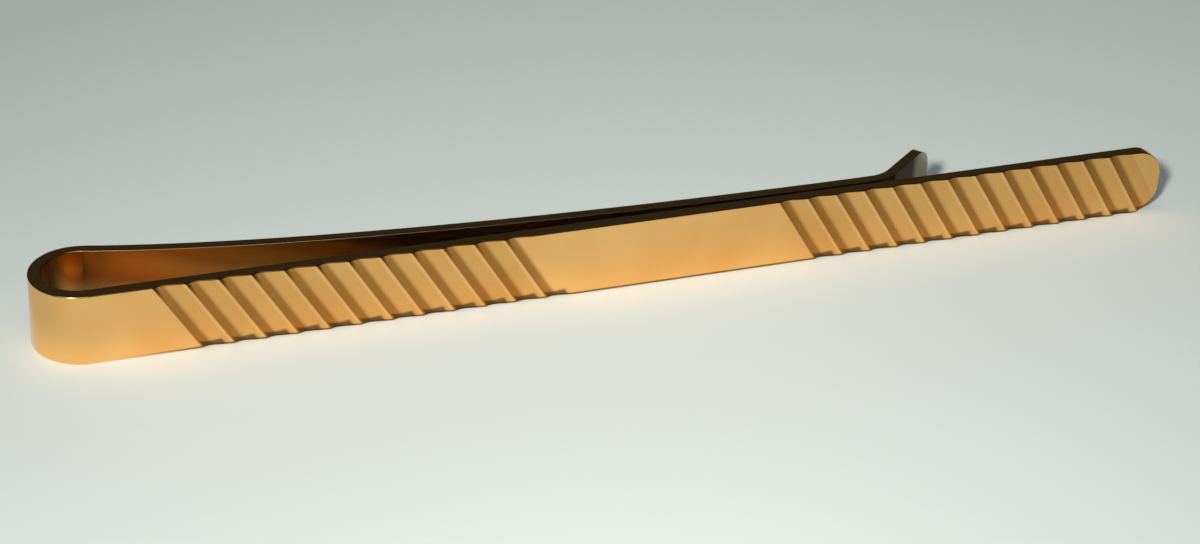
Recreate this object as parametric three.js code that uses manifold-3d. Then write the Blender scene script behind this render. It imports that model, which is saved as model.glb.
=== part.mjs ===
// Tie slide: one strip of gold plated brass, bent into a fluted front bar, a spring loop and a back arm.
// Millimetres, +Z up. The clip stands on its long lower edges. +X runs from the loop to the bar's tip
// and the front face looks along -Y. The origin is under the middle of the whole clip.
import * as THREE from 'three';
import { mergeVertices } from 'three/addons/utils/BufferGeometryUtils.js';
import Module from 'manifold-3d';

const wasm = await Module();
wasm.setup();
const degrees = Math.PI / 180;

// Driving dimensions of the strip
const overallLength = 59.65; // outside of the loop to the tip of the bar
const stripWidth = 3.7; // the clip's height as it stands on edge
const barThickness = 0.7; // front bar
const springThickness = 0.55; // back arm, rolled thinner so that it flexes
const tipRadius = 1.5; // rounded corners of the bar's tip

// Driving dimensions of the loop and the back arm
const loopDepth = 4.86; // front face of the bar to the outside of the loop's back
const armDive = 14.4 * degrees; // turn of the loop past a half circle
const armReach = 43.1; // outside of the loop to the nip
const armLead = 12.6; // how long the arm keeps the slope of its dive
const nipLead = 6.6; // how long the arm runs level before the nip
const nipGap = 0.15; // bar to arm where they come closest
const lipBend = 2; // bend radius on the back of the lead-in lip
const lipAngle = 38 * degrees;
const lipRun = 3.8; // straight length of the lip
const lipCorner = 1.3; // rounded corners of the lip's end

// Driving dimensions of the flutes, slanting cuts with a short rounded left flank and a long flat facet
const flutePitch = 1.58; // along the bar
const fluteLean = 32 * degrees; // from upright, upper end towards the loop
const fluteDepth = 0.16; // where flank and facet would meet
const fluteHeel = 0.2; // place of that meeting point, as a share of the flute's width
const facetStart = 0.5; // where the rounded hollow becomes the flat facet, same share
const flankLead = 0.15; // how far the flank leans before it curves, same share
const flankDepth = 0.46; // depth of that point, as a share of the flute's depth
const ridgeLand = 0.06; // flat top left between two flutes
const loopFluteCount = 12;
const tipFluteCount = 13;
const loopToFlutes = 4.1; // end of the loop to the first flute, at mid height
const flutesToTip = 0.6; // last flute to the tip, at mid height

// Facets
const loopSteps = 22; // in each half
const armSteps = 18;
const lipSteps = 6;
const cornerSteps = 8;
const fluteSteps = 4;

// Places that follow from the dimensions
const loopRadius = loopDepth / 2;
const frontFace = -loopRadius;
const loopOutside = -overallLength / 2;
const loopCentre = loopOutside + loopRadius;
const barTip = loopOutside + overallLength;
const loopTurn = Math.PI + armDive;
const loopApex = Math.PI / 2; // turn at the outermost point, where the two halves part
const nipX = loopOutside + armReach;
const nipOuter = frontFace + barThickness + nipGap + springThickness;

const goldPlate = new THREE.MeshStandardMaterial({ color: '#d9a95c', roughness: 0.2, metalness: 1 });

// A closed three.js geometry as a solid for cutting.
function solidOf(geometry) {
  geometry.deleteAttribute('normal');
  geometry.deleteAttribute('uv');
  const merged = mergeVertices(geometry);
  const vertProperties = new Float32Array(merged.attributes.position.array);
  const triVerts = new Uint32Array(merged.index.array);
  return new wasm.Manifold(new wasm.Mesh({ numProp: 3, vertProperties, triVerts }));
}

function geometryOf(solid) {
  const { vertProperties, triVerts } = solid.getMesh();
  const geometry = new THREE.BufferGeometry();
  geometry.setAttribute('position', new THREE.BufferAttribute(vertProperties, 3));
  geometry.setIndex(new THREE.BufferAttribute(triVerts, 1));
  geometry.computeVertexNormals();
  return geometry;
}

function namedMesh(name, geometry) {
  const mesh = new THREE.Mesh(geometry, goldPlate);
  mesh.name = name;
  return mesh;
}

// A plan outline raised to the strip's width.
function raised(outline) {
  return new THREE.ExtrudeGeometry(new THREE.Shape(outline), { depth: stripWidth, bevelEnabled: false });
}

// An upright plate in the XZ plane whose far end has two rounded corners.
function roundEndedPlate(near, far, thickness, corner) {
  const outline = new THREE.Shape();
  outline.moveTo(near, 0);
  outline.lineTo(far - corner, 0);
  outline.absarc(far - corner, corner, corner, -Math.PI / 2, 0, false);
  outline.absarc(far - corner, stripWidth - corner, corner, 0, Math.PI / 2, false);
  outline.lineTo(near, stripWidth);
  const settings = { depth: thickness, bevelEnabled: false, curveSegments: cornerSteps };
  const plate = new THREE.ExtrudeGeometry(outline, settings);
  plate.rotateX(Math.PI / 2);
  return plate.translate(0, thickness, 0);
}

// One flute's cutter, its upper left ridge on the bar's front face at mid height, at the given place along X.
function fluteCutter(ridgeX) {
  const width = flutePitch * Math.cos(fluteLean) - ridgeLand;
  const clear = fluteDepth;
  const facetX = facetStart * width;
  const facetDepth = (fluteDepth * (1 - facetStart)) / (1 - fluteHeel);
  const profile = new THREE.Shape();
  profile.moveTo(0, -clear);
  profile.lineTo(width, -clear);
  profile.lineTo(width, 0);
  profile.lineTo(facetX, facetDepth);
  profile.bezierCurveTo(fluteHeel * width, fluteDepth, flankLead * width, flankDepth * fluteDepth, 0, 0);
  const length = (2 * stripWidth) / Math.cos(fluteLean);
  const settings = { depth: length, bevelEnabled: false, curveSegments: fluteSteps };
  const cutter = new THREE.ExtrudeGeometry(profile, settings);
  cutter.translate(0, 0, -length / 2);
  cutter.rotateY(-fluteLean);
  return cutter.translate(ridgeX, frontFace, stripWidth / 2);
}

function frontBar() {
  const plate = roundEndedPlate(loopCentre, barTip, barThickness, tipRadius);
  let bar = solidOf(plate.translate(0, frontFace, 0));
  const firstByLoop = loopCentre + loopToFlutes;
  const firstByTip = barTip - flutesToTip - tipFluteCount * flutePitch;
  for (let i = 0; i < loopFluteCount; i += 1) {
    bar = bar.subtract(solidOf(fluteCutter(firstByLoop + i * flutePitch)));
  }
  for (let i = 0; i < tipFluteCount; i += 1) {
    bar = bar.subtract(solidOf(fluteCutter(firstByTip + i * flutePitch)));
  }
  return namedMesh('front_bar', geometryOf(bar));
}

// The loop turns clockwise, seen from above, from the end of the bar to the start of the arm.
function loopPoint(turned, radius) {
  const angle = -Math.PI / 2 - turned;
  return new THREE.Vector2(loopCentre + radius * Math.cos(angle), radius * Math.sin(angle));
}

// One half of the loop. Its wall thins evenly all the way from the bar to the arm.
function loopHalf(name, fromTurn, toTurn) {
  const outside = [];
  const inside = [];
  for (let i = 0; i <= loopSteps; i += 1) {
    const turned = THREE.MathUtils.lerp(fromTurn, toTurn, i / loopSteps);
    const wall = THREE.MathUtils.lerp(barThickness, springThickness, turned / loopTurn);
    outside.push(loopPoint(turned, loopRadius));
    inside.unshift(loopPoint(turned, loopRadius - wall));
  }
  return namedMesh(name, raised([...outside, ...inside]));
}

// The arm's back skin: a long curve from the loop to the nip, then the bend and the run of the lip.
// Each step gives a point and the direction of the strip there.
function armSkin() {
  const start = loopPoint(loopTurn, loopRadius);
  const dive = new THREE.Vector2(Math.cos(armDive), -Math.sin(armDive));
  const nip = new THREE.Vector2(nipX, nipOuter);
  const level = new THREE.Vector2(1, 0);
  const startHandle = start.clone().addScaledVector(dive, armLead);
  const nipHandle = nip.clone().addScaledVector(level, -nipLead);
  const run = new THREE.CubicBezierCurve(start, startHandle, nipHandle, nip);
  const skin = [];
  for (let i = 0; i < armSteps; i += 1) {
    skin.push({ point: run.getPoint(i / armSteps), along: run.getTangent(i / armSteps) });
  }
  for (let i = 0; i <= lipSteps; i += 1) {
    const turn = (i / lipSteps) * lipAngle;
    const along = new THREE.Vector2(Math.cos(turn), Math.sin(turn));
    const x = nipX + lipBend * Math.sin(turn);
    const y = nipOuter + lipBend * (1 - Math.cos(turn));
    skin.push({ point: new THREE.Vector2(x, y), along });
  }
  const last = skin.at(-1);
  skin.push({ point: last.point.clone().addScaledVector(last.along, lipRun), along: last.along });
  return skin;
}

function backArm() {
  const skin = armSkin();
  const back = skin.map(({ point }) => point);
  const inner = skin.map(({ point, along }) => {
    return new THREE.Vector2(point.x + along.y * springThickness, point.y - along.x * springThickness);
  });
  const strip = solidOf(raised([...inner, ...back.reverse()]));
  // The lip's end is rounded by a plate that lies square to the lip and covers the whole arm.
  const lipEnd = skin.at(-1).point;
  const cover = roundEndedPlate(-overallLength, 0, 2 * overallLength, lipCorner);
  cover.translate(0, -overallLength, 0);
  cover.rotateZ(lipAngle);
  cover.translate(lipEnd.x, lipEnd.y, 0);
  return namedMesh('back_arm', geometryOf(strip.intersect(solidOf(cover))));
}

const tieSlide = new THREE.Group();
tieSlide.name = 'tie_slide';
tieSlide.add(frontBar(), backArm());
tieSlide.add(loopHalf('loop_front_half', 0, loopApex));
tieSlide.add(loopHalf('loop_back_half', loopApex, loopTurn));

export default tieSlide;
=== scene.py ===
import math

import bmesh
import bpy
from mathutils import Matrix, Vector
from mathutils.geometry import interpolate_bezier


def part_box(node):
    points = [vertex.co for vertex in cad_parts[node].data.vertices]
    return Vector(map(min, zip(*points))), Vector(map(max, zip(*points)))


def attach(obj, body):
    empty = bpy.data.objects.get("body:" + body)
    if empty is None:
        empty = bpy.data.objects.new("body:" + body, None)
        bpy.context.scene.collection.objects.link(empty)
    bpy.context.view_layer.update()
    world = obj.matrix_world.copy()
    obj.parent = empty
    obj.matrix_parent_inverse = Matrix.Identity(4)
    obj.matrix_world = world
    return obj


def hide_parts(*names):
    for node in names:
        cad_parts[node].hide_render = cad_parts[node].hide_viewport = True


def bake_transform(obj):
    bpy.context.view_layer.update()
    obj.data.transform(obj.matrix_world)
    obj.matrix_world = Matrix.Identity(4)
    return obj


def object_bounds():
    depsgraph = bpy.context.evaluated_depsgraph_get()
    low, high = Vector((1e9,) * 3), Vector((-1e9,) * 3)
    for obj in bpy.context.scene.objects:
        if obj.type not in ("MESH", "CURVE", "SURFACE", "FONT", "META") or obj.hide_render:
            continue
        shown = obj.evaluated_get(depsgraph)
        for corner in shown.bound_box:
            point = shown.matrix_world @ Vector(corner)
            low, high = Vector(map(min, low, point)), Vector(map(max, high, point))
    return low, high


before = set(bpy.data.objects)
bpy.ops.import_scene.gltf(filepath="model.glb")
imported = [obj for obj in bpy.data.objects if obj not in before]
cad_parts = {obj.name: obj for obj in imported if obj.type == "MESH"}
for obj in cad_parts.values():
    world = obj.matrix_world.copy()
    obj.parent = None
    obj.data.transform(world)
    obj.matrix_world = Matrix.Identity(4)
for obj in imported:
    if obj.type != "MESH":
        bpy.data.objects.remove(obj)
cad_low, cad_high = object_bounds()

# Front bar: the straight run of the strip, stamped from gold plated brass with a rounded tip.
# Two runs of slanting flutes are cut across its face, either side of a plain panel, and then
# the clip is tumbled, which takes the sharpness off its rims.
MM = 0.001
bar_low, bar_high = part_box("front_bar")
strip_width = bar_high.z - bar_low.z
edge_round = 0.05 * MM
tip_radius = 1.5 * MM
corner_segments = 14
edge_segments = 4
tiny = 0.001 * MM

blank = bmesh.new()
outline = [
    blank.verts.new((bar_low.x, bar_low.y, bar_low.z)),
    blank.verts.new((bar_high.x, bar_low.y, bar_low.z)),
    blank.verts.new((bar_high.x, bar_low.y, bar_high.z)),
    blank.verts.new((bar_low.x, bar_low.y, bar_high.z)),
]
blank.faces.new(outline)


def round_corners(shape, corners, radius):
    bmesh.ops.bevel(
        shape, geom=corners, offset=radius, offset_type="ABSOLUTE", segments=corner_segments,
        profile=0.5, affect="VERTICES", material=-1,
    )


def round_rim(shape, rim, radius):
    bmesh.ops.bevel(
        shape, geom=rim, offset=radius, segments=edge_segments,
        profile=0.5, affect="EDGES", material=-1,
    )


def extrude_by(shape, faces, step):
    grown = bmesh.ops.extrude_face_region(shape, geom=faces)
    moved = [item for item in grown["geom"] if isinstance(item, bmesh.types.BMVert)]
    bmesh.ops.translate(shape, verts=moved, vec=step)


def new_piece(name, shape):
    mesh = bpy.data.meshes.new(name)
    shape.to_mesh(mesh)
    shape.free()
    piece = bpy.data.objects.new(name, mesh)
    bpy.context.scene.collection.objects.link(piece)
    return piece


def polish(piece):
    """Smooth shading that breaks only at real creases and stays flat on flat faces."""
    crease = math.radians(32)
    piece.data.shade_smooth()
    piece.data.set_sharp_from_angle(angle=crease)
    flat = piece.modifiers.new("flat faces", "WEIGHTED_NORMAL")
    flat.keep_sharp = True


round_corners(blank, outline[1:3], tip_radius)
extrude_by(blank, blank.faces[:], (0, bar_high.y - bar_low.y, 0))
bmesh.ops.recalc_face_normals(blank, faces=blank.faces[:])
fluted_bar = new_piece("fluted_front_bar", blank)

# Each flute has a short rounded left flank and a long flat facet that rises to the next ridge.
flute_pitch = 1.58 * MM
flute_lean = math.radians(32)
flute_depth = 0.16 * MM
ridge_land = 0.06 * MM
flute_width = flute_pitch * math.cos(flute_lean) - ridge_land
heel = 0.2 * flute_width
facet_start = 0.5 * flute_width
facet_depth = flute_depth * (flute_width - facet_start) / (flute_width - heel)
shoulder = Vector((0.15 * flute_width, 0.46 * flute_depth, 0))
flute_points = 16
flute_length = 2 * strip_width / math.cos(flute_lean)
hollow = interpolate_bezier(
    Vector((facet_start, facet_depth, 0)), Vector((heel, flute_depth, 0)), shoulder, Vector((0, 0, 0)),
    flute_points,
)
flute_section = [
    Vector((0, -flute_depth, 0)), Vector((flute_width, -flute_depth, 0)), Vector((flute_width, 0, 0)),
    *hollow,
]


def add_flute(shape, ridge_x):
    """One flute's cutter, with its left ridge at ridge_x at mid height of the face."""
    one = bmesh.new()
    corners = [one.verts.new(point) for point in flute_section]
    one.faces.new(corners)
    extrude_by(one, one.faces[:], (0, 0, flute_length))
    bmesh.ops.translate(one, verts=one.verts[:], vec=(0, 0, -flute_length / 2))
    bmesh.ops.rotate(one, verts=one.verts[:], cent=(0, 0, 0), matrix=Matrix.Rotation(-flute_lean, 3, "Y"))
    bmesh.ops.translate(one, verts=one.verts[:], vec=(ridge_x, bar_low.y, bar_low.z + strip_width / 2))
    bmesh.ops.recalc_face_normals(one, faces=one.faces[:])
    mesh = bpy.data.meshes.new("flute")
    one.to_mesh(mesh)
    one.free()
    shape.from_mesh(mesh)
    bpy.data.meshes.remove(mesh)


loop_run = range(12)
tip_run = range(13)
loop_to_flutes = 4.1 * MM
flutes_to_tip = 0.6 * MM
first_by_loop = bar_low.x + loop_to_flutes
first_by_tip = bar_high.x - flutes_to_tip - len(tip_run) * flute_pitch
cutters = bmesh.new()
for i in loop_run:
    add_flute(cutters, first_by_loop + i * flute_pitch)
for i in tip_run:
    add_flute(cutters, first_by_tip + i * flute_pitch)
cutter = new_piece("flute_cutters", cutters)
cut = fluted_bar.modifiers.new("flutes", "BOOLEAN")
cut.operation = "DIFFERENCE"
cut.solver = "EXACT"
cut.object = cutter
bpy.context.view_layer.update()
plain_mesh = fluted_bar.data
cut_bar = fluted_bar.evaluated_get(bpy.context.evaluated_depsgraph_get())
fluted_bar.data = bpy.data.meshes.new_from_object(cut_bar)
fluted_bar.modifiers.clear()
bpy.data.meshes.remove(plain_mesh)
bpy.data.meshes.remove(cutter.data)

# The rim runs where the strip's edges, side on to Y, meet the front or the back.
side_on = 0.05
face_on = 0.3
tumbled = bmesh.new()
tumbled.from_mesh(fluted_bar.data)
rim = []
for edge in tumbled.edges:
    at_loop = max(v.co.x for v in edge.verts) < bar_low.x + tiny
    facing = sorted(abs(face.normal.y) for face in edge.link_faces)
    if facing[0] < side_on and facing[1] > face_on and not at_loop:
        rim.append(edge)
round_rim(tumbled, rim, edge_round)
tumbled.to_mesh(fluted_bar.data)
tumbled.free()
polish(fluted_bar)


# Gold plate over brass, polished and then handled: a warm mirror with soft lengthwise polishing
# lines, faint waves from the rolled strip and a dulled, slightly deeper colour in rubbed patches.
def linear(hex_colour):
    def channel(value):
        return value / 12.92 if value <= 0.04045 else ((value + 0.055) / 1.055) ** 2.4

    parts = [int(hex_colour[i:i + 2], 16) / 255 for i in (1, 3, 5)]
    return (*[channel(part) for part in parts], 1)


def add_node(tree, kind, links=(), **settings):
    """Adds a node. Settings are properties or input values, and links pair an input with an output."""
    made = tree.nodes.new(kind)
    for name, value in settings.items():
        if hasattr(made, name):
            setattr(made, name, value)
        else:
            made.inputs[name.replace("_", " ")].default_value = value
    for name, source in links:
        tree.links.new(source, made.inputs[name])
    return made


def mix_wear_and_shade(tree, gold, colour, most, marks):
    """Mixes a colour into the gold, for worn plate and for painted shade. Where every mark is full it is as
    strong as most.
    """
    amount = marks[0].outputs["Result"]
    for mark in marks[1:]:
        both = add_node(
            tree, "ShaderNodeMath", [(0, amount), (1, mark.outputs["Result"])], operation="MULTIPLY",
        )
        amount = both.outputs["Value"]
    faded = add_node(tree, "ShaderNodeMath", [(0, amount)], operation="MULTIPLY")
    faded.inputs[1].default_value = most
    stained = add_node(
        tree, "ShaderNodeMix", [("Factor", faded.outputs["Value"]), ("A", gold)],
        data_type="RGBA", B=linear(colour),
    )
    return stained.outputs["Result"]


def paint_flute_shade(tree, coordinates, gold):
    """Painted shade: thin on the cut facets, brown on the flanks, dark at the feet, a line on the lower
    edge.
    """
    place = add_node(tree, "ShaderNodeSeparateXYZ", [("Vector", coordinates.outputs["Object"])])
    geometry = add_node(tree, "ShaderNodeNewGeometry")
    normal = add_node(
        tree, "ShaderNodeVectorTransform", [("Vector", geometry.outputs["True Normal"])],
        vector_type="NORMAL", convert_from="WORLD", convert_to="OBJECT",
    )
    facing = add_node(tree, "ShaderNodeSeparateXYZ", [("Vector", normal.outputs["Vector"])])
    front = add_node(
        tree, "ShaderNodeMapRange", [("Value", facing.outputs["Y"])],
        interpolation_type="SMOOTHSTEP", From_Min=-0.3, From_Max=-0.5,
    )

    # Depth below the plain face
    cut_start = 0.001 * MM
    cut_full = 0.02 * MM
    deep_start = 0.025 * MM
    deep_full = 0.055 * MM
    cut = add_node(
        tree, "ShaderNodeMapRange", [("Value", place.outputs["Y"])], interpolation_type="SMOOTHSTEP",
        From_Min=bar_low.y + cut_start, From_Max=bar_low.y + cut_full,
    )
    deep = add_node(
        tree, "ShaderNodeMapRange", [("Value", place.outputs["Y"])], interpolation_type="SMOOTHSTEP",
        From_Min=bar_low.y + deep_start, From_Max=bar_low.y + deep_full,
    )

    # Tilt across the flute, which tells its flank from its facet
    facet_tilt = -0.17
    flank_tilt = 0.04
    across = add_node(
        tree, "ShaderNodeVectorMath", [(0, normal.outputs["Vector"])], operation="DOT_PRODUCT",
    )
    across.inputs[1].default_value = (math.cos(flute_lean), 0, math.sin(flute_lean))
    flank = add_node(
        tree, "ShaderNodeMapRange", [("Value", across.outputs["Value"])],
        interpolation_type="SMOOTHSTEP", From_Min=facet_tilt, From_Max=flank_tilt,
    )

    # Height of the painted shade at the flutes' feet, lower where the flute is deeper
    foot_top = 0.52 * MM
    foot_full = 0.36 * MM
    foot_slope = 1.4
    slope = add_node(
        tree, "ShaderNodeMath", [(0, place.outputs["Y"]), (2, place.outputs["Z"])], operation="MULTIPLY_ADD",
    )
    slope.inputs[1].default_value = foot_slope
    foot = add_node(
        tree, "ShaderNodeMapRange", [("Value", slope.outputs["Value"])], interpolation_type="SMOOTHSTEP",
        From_Min=foot_slope * bar_low.y + foot_top, From_Max=foot_slope * bar_low.y + foot_full,
    )

    # A thin painted contact shadow along the lower edge, which starts a little way past the loop
    line_top = 0.15 * MM
    line_full = 0.09 * MM
    line_start = 1 * MM
    line_whole = 6 * MM
    lower_edge = add_node(
        tree, "ShaderNodeMapRange", [("Value", place.outputs["Z"])], interpolation_type="SMOOTHSTEP",
        From_Min=line_top, From_Max=line_full,
    )
    past_loop = add_node(
        tree, "ShaderNodeMapRange", [("Value", place.outputs["X"])], interpolation_type="SMOOTHSTEP",
        From_Min=bar_low.x + line_start, From_Max=bar_low.x + line_whole,
    )

    # Distance from the panel's middle along the slanting flutes. The last facet gets no painted shade, so it
    # is as bright as the panel.
    panel_fade = 0.6 * MM
    last_by_loop = first_by_loop + loop_run[-1] * flute_pitch
    panel_half = (first_by_tip - last_by_loop) / 2
    along = add_node(
        tree, "ShaderNodeMath", [(0, place.outputs["Z"]), (2, place.outputs["X"])], operation="MULTIPLY_ADD",
    )
    along.inputs[1].default_value = math.tan(flute_lean)
    from_panel = add_node(tree, "ShaderNodeMath", [(0, along.outputs["Value"])], operation="SUBTRACT")
    from_panel.inputs[1].default_value = last_by_loop + panel_half + math.tan(flute_lean) * strip_width / 2
    distance = add_node(tree, "ShaderNodeMath", [(0, from_panel.outputs["Value"])], operation="ABSOLUTE")
    off_panel = add_node(
        tree, "ShaderNodeMapRange", [("Value", distance.outputs["Value"])], interpolation_type="SMOOTHSTEP",
        From_Min=panel_half - panel_fade, From_Max=panel_half,
    )

    # Painted contact shadow along the lower edge, where the bar stands on the table.
    gold = mix_wear_and_shade(tree, gold, "#6E4A1C", 0.85, [front, lower_edge, past_loop])
    # Painted shade: a little darker on the recessed facets.
    gold = mix_wear_and_shade(tree, gold, "#A8742E", 0.26, [front, cut, off_panel])
    # Painted shade: brown on each flank, which faces away from the light.
    gold = mix_wear_and_shade(tree, gold, "#9A5E1C", 0.75, [front, cut, flank])
    # Painted shade: dark at the feet of the flutes, low in the recesses by the table.
    return mix_wear_and_shade(tree, gold, "#4A3518", 0.8, [front, deep, foot])


def gold_plate(name, roughness_low, roughness_high, wear_and_shade):
    bright_gold = "#FFD28A"
    deep_gold = "#EEAA5E"
    material = bpy.data.materials.new(name)
    material.use_nodes = True
    tree = material.node_tree
    shader = tree.nodes["Principled BSDF"]
    shader.inputs["Metallic"].default_value = 1
    coordinates = add_node(tree, "ShaderNodeTexCoord")
    place = coordinates.outputs["Object"]

    patch_size = 3.5 * MM
    patches = add_node(tree, "ShaderNodeTexNoise", [("Vector", place)], Scale=1 / patch_size, Detail=3.0)
    tint = add_node(
        tree, "ShaderNodeMix", [("Factor", patches.outputs["Fac"])],
        data_type="RGBA", A=linear(bright_gold), B=linear(deep_gold),
    )
    # Worn plate and painted shade go onto the gold here.
    gold = wear_and_shade(tree, coordinates, tint.outputs["Result"])
    tree.links.new(gold, shader.inputs["Base Color"])

    # Real polishing lines are much finer. These are as coarse as they need to be to show.
    line_length = 6 * MM
    line_spacing = 0.14 * MM
    line_depth = 0.0003 * MM
    stretched = add_node(
        tree, "ShaderNodeMapping", [("Vector", place)],
        Scale=(1 / line_length, 1 / line_spacing, 1 / line_spacing),
    )
    lines = add_node(
        tree, "ShaderNodeTexNoise", [("Vector", stretched.outputs["Vector"])], Scale=1.0, Detail=2.0,
    )
    wear = add_node(
        tree, "ShaderNodeMath", [(0, patches.outputs["Fac"]), (1, lines.outputs["Fac"])],
        operation="MULTIPLY",
    )
    dulling = add_node(
        tree, "ShaderNodeMapRange", [("Value", wear.outputs["Value"])],
        From_Min=0.1, From_Max=0.45, To_Min=roughness_low, To_Max=roughness_high,
    )
    tree.links.new(dulling.outputs["Result"], shader.inputs["Roughness"])

    wave_size = 2.5 * MM
    wave_depth = 0.006 * MM
    waves = add_node(tree, "ShaderNodeTexNoise", [("Vector", place)], Scale=1 / wave_size, Detail=1.0)
    waved = add_node(
        tree, "ShaderNodeBump", [("Height", waves.outputs["Fac"])], Strength=1.0, Distance=wave_depth,
    )
    scratched = add_node(
        tree, "ShaderNodeBump", [("Height", lines.outputs["Fac"]), ("Normal", waved.outputs["Normal"])],
        Strength=1.0, Distance=line_depth,
    )
    tree.links.new(scratched.outputs["Normal"], shader.inputs["Normal"])
    return material


bar_gold = gold_plate("polished gold plate, fluted", 0.08, 0.18, paint_flute_shade)
fluted_bar.data.materials.clear()
fluted_bar.data.materials.append(bar_gold)
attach(fluted_bar, "bar")
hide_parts("front_bar")

# Spring loop: the same strip rolled round a mandrel, a little past half a turn. It is the spring of
# the clip, so its wall thins from the bar to the arm.
front_half_low, front_half_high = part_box("loop_front_half")
loop_radius = front_half_high.y - front_half_low.y
loop_centre = Vector((bar_low.x, bar_low.y + loop_radius, 0))
arm_dive = math.radians(14.4)
loop_turn = math.pi + arm_dive
bar_wall = bar_high.y - bar_low.y
arm_wall = 0.55 * MM
loop_steps = 120

loop = bmesh.new()
section = [
    loop.verts.new((bar_low.x, bar_low.y, bar_low.z)),
    loop.verts.new((bar_low.x, bar_low.y, bar_high.z)),
    loop.verts.new((bar_low.x, bar_high.y, bar_high.z)),
    loop.verts.new((bar_low.x, bar_high.y, bar_low.z)),
]
loop.faces.new(section)
bmesh.ops.spin(
    loop, geom=loop.verts[:] + loop.edges[:] + loop.faces[:], cent=loop_centre, axis=(0, 0, 1),
    angle=-loop_turn, steps=loop_steps,
)
for vert in loop.verts:
    out = vert.co - loop_centre
    height = out.z
    out.z = 0
    turned = (-math.pi / 2 - math.atan2(out.y, out.x)) % (2 * math.pi)
    # Rounding can take the loop's first section for almost a full turn.
    if turned > loop_turn + 1:
        turned = 0
    wall = bar_wall + (arm_wall - bar_wall) * turned / loop_turn
    depth = (loop_radius - out.length) * wall / bar_wall
    vert.co = loop_centre + out.normalized() * (loop_radius - depth) + Vector((0, 0, height))
bmesh.ops.recalc_face_normals(loop, faces=loop.faces[:])
across_wall = 0.1 * MM
long_edges = []
for edge in loop.edges:
    if abs(edge.verts[0].co.z - edge.verts[1].co.z) > tiny:
        continue
    radii = [(v.co.xy - loop_centre.xy).length for v in edge.verts]
    if abs(radii[0] - radii[1]) < across_wall:
        long_edges.append(edge)
round_rim(loop, long_edges, edge_round)
spring_loop = new_piece("spring_loop", loop)
polish(spring_loop)


def paint_loop_shade(tree, coordinates, gold):
    """Painted shade on the inside of the loop's outermost point, which faces the dark gap within."""
    facing = add_node(tree, "ShaderNodeSeparateXYZ", [("Vector", coordinates.outputs["Normal"])])
    inside = add_node(
        tree, "ShaderNodeMapRange", [("Value", facing.outputs["X"])], interpolation_type="SMOOTHSTEP",
        From_Min=0.1, From_Max=0.6,
    )
    return mix_wear_and_shade(tree, gold, "#4A2C10", 0.9, [inside])


loop_gold = gold_plate("polished gold plate, bent", 0.1, 0.2, paint_loop_shade)
spring_loop.data.materials.append(loop_gold)
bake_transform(spring_loop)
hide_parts("loop_front_half", "loop_back_half")

# Back arm: the thin sprung end of the strip. It dives from the loop to the nip behind the bar,
# and its end is turned out into a lead-in lip with rounded corners that a tie slides under.
# The plate is paler on its inner side, where ties have rubbed it thin, and shade is painted brown in the
# lip's hollow.
arm_reach = 43.1 * MM
arm_lead = 12.6 * MM
nip_lead = 6.6 * MM
nip_gap = 0.15 * MM
lip_bend = 2 * MM
lip_angle = math.radians(38)
lip_run = 3.8 * MM
lip_corner = 1.3 * MM
arm_steps = 48
lip_steps = 12
arm_edge_round = 0.02 * MM
start_angle = -math.pi / 2 - loop_turn
arm_start = loop_centre + loop_radius * Vector((math.cos(start_angle), math.sin(start_angle), 0))
nip = Vector((cad_low.x + arm_reach, bar_high.y + nip_gap + arm_wall, 0))
dive = Vector((math.cos(arm_dive), -math.sin(arm_dive), 0))
arm_path = interpolate_bezier(
    arm_start, arm_start + dive * arm_lead, nip - Vector((nip_lead, 0, 0)), nip, arm_steps,
)

arm = bmesh.new()
foot = arm.verts.new(arm_start)
head = arm.verts.new(arm_start + Vector((0, 0, strip_width)))
front_edge = arm.edges.new((foot, head))


def pull_edge(shape, edge, step):
    pulled = bmesh.ops.extrude_edge_only(shape, edges=[edge])["geom"]
    bmesh.ops.translate(shape, verts=[v for v in pulled if isinstance(v, bmesh.types.BMVert)], vec=step)
    return next(item for item in pulled if isinstance(item, bmesh.types.BMEdge))


for here, there in zip(arm_path, arm_path[1:]):
    front_edge = pull_edge(arm, front_edge, there - here)
bend_centre = nip + Vector((0, lip_bend, 0))
turned_lip = bmesh.ops.spin(
    arm, geom=[front_edge, *front_edge.verts], cent=bend_centre, axis=(0, 0, 1),
    angle=lip_angle, steps=lip_steps,
)
front_edge = next(item for item in turned_lip["geom_last"] if isinstance(item, bmesh.types.BMEdge))
lip_way = Vector((math.cos(lip_angle), math.sin(lip_angle), 0))
front_edge = pull_edge(arm, front_edge, lip_way * lip_run)
round_corners(arm, front_edge.verts[:], lip_corner)
bmesh.ops.recalc_face_normals(arm, faces=arm.faces[:])
bmesh.ops.solidify(arm, geom=arm.faces[:], thickness=-arm_wall)
bmesh.ops.recalc_face_normals(arm, faces=arm.faces[:])
square = math.radians(60)
rim = []
for edge in arm.edges:
    at_loop = all((v.co - arm_start).dot(dive) < arm_edge_round for v in edge.verts)
    if edge.calc_face_angle(0) > square and not at_loop:
        rim.append(edge)
round_rim(arm, rim, arm_edge_round)
back_arm = new_piece("back_arm_with_lip", arm)
polish(back_arm)


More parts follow.
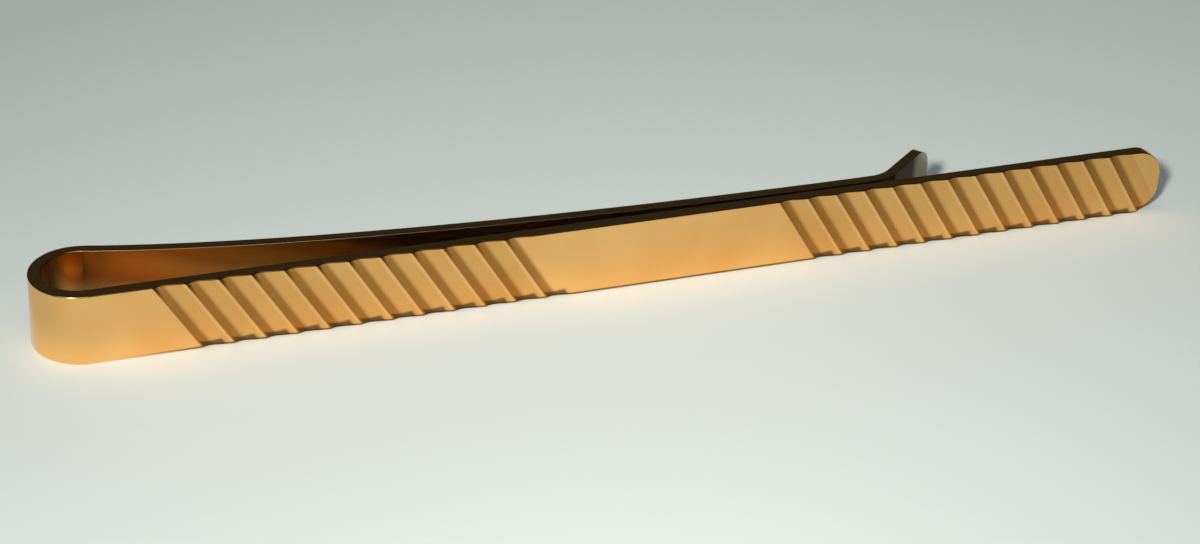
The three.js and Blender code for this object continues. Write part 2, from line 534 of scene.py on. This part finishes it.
def arm_wear_and_shade(tree, coordinates, gold):
    """The inner side, rubbed pale by ties, with painted shade in the hollow of the lip."""
    rubbed_after = 9 * MM
    nip_fade = 0.4 * MM
    hollow_end = 3.6 * MM
    hollow_full = 2.9 * MM
    place = add_node(tree, "ShaderNodeSeparateXYZ", [("Vector", coordinates.outputs["Object"])])
    facing = add_node(tree, "ShaderNodeSeparateXYZ", [("Vector", coordinates.outputs["Normal"])])
    inner_side = add_node(
        tree, "ShaderNodeMapRange", [("Value", facing.outputs["Y"])], From_Min=-0.3, From_Max=-0.6,
    )
    in_gap = add_node(
        tree, "ShaderNodeMapRange", [("Value", place.outputs["X"])], interpolation_type="SMOOTHSTEP",
        From_Min=arm_start.x, From_Max=arm_start.x + rubbed_after,
    )
    past_nip = add_node(
        tree, "ShaderNodeMapRange", [("Value", place.outputs["X"])], interpolation_type="SMOOTHSTEP",
        From_Min=nip.x - nip_fade, From_Max=nip.x + nip_fade,
    )
    in_hollow = add_node(
        tree, "ShaderNodeMapRange", [("Value", place.outputs["X"])], interpolation_type="SMOOTHSTEP",
        From_Min=nip.x + hollow_end, From_Max=nip.x + hollow_full,
    )
    gold = mix_wear_and_shade(tree, gold, "#E2D2B0", 1, [inner_side, in_gap])
    # Painted shade: brown on the inner side from the nip into the lip's hollow.
    return mix_wear_and_shade(tree, gold, "#4A2C10", 0.95, [inner_side, past_nip, in_hollow])


arm_gold = gold_plate("polished gold plate, sprung", 0.1, 0.2, arm_wear_and_shade)
back_arm.data.materials.append(arm_gold)
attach(back_arm, "arm")
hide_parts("back_arm")

# Table top: the board that the clip stands on, painted a pale grey green.
# The paint is matt, so it takes the clip's shadow and its warm glow, with no gloss.
table_half = 1500 * MM
table = bmesh.new()
bmesh.ops.create_grid(table, x_segments=1, y_segments=1, size=table_half)
table_top = new_piece("table_top", table)
board = bpy.data.materials.new("matt painted board")
board.use_nodes = True
paint = board.node_tree.nodes["Principled BSDF"]
paint.inputs["Base Color"].default_value = linear("#E2EAE8")
paint.inputs["Roughness"].default_value = 0.8
table_top.data.materials.append(board)


# Light: a small soft box, in front and to the left, makes the bright pool that the clip stands in.
# A large one overhead softens the shadows, and the room is dim.
def soft_box(name, place, aim, width, height, spread, power, colour):
    lamp = bpy.data.lights.new(name, "AREA")
    lamp.shape = "RECTANGLE"
    lamp.size = width
    lamp.size_y = height
    lamp.energy = power
    lamp.spread = math.radians(spread)
    lamp.color = linear(colour)[:3]
    box = bpy.data.objects.new(name, lamp)
    box.location = place
    box.rotation_euler = (Vector(aim) - Vector(place)).to_track_quat("-Z", "Y").to_euler()
    bpy.context.scene.collection.objects.link(box)


soft_box(
    "front soft box", place=(-122 * MM, -164 * MM, 136 * MM), aim=(-6 * MM, -30 * MM, 0),
    width=23 * MM, height=20 * MM, spread=51, power=0.055, colour="#FFFCF4",
)
soft_box(
    "top soft box", place=(-100 * MM, -100 * MM, 600 * MM), aim=(0, 0, 0),
    width=500 * MM, height=400 * MM, spread=120, power=0.39, colour="#F4FAFF",
)
room = bpy.data.worlds.new("dim room")
room.use_nodes = True
room_light = room.node_tree.nodes["Background"]
room_light.inputs["Color"].default_value = linear("#B8C0BC")
room_light.inputs["Strength"].default_value = 0.058
scene = bpy.context.scene
scene.world = room
scene.view_settings.view_transform = "Standard"

# Camera: close to the clip, above it and to the left of its middle, looking down and to the right.
# Its place, lens and turn were fitted to the strip's edges and the even spacing of the flutes.
camera_place = (-43.9 * MM, -109.72 * MM, 69.27 * MM)
look_down = math.radians(30.62)
look_right = math.radians(21.35)
roll = math.radians(3.15)
camera_data = bpy.data.cameras.new("camera")
camera_data.sensor_width = 36
camera_data.lens = 80.34
camera_data.clip_start = 5 * MM
camera = bpy.data.objects.new("camera", camera_data)
turn = (
    Matrix.Rotation(-look_right, 4, "Z")
    @ Matrix.Rotation(math.pi / 2 - look_down, 4, "X")
    @ Matrix.Rotation(roll, 4, "Z")
)
camera.matrix_world = Matrix.Translation(camera_place) @ turn
scene.collection.objects.link(camera)
scene.camera = camera
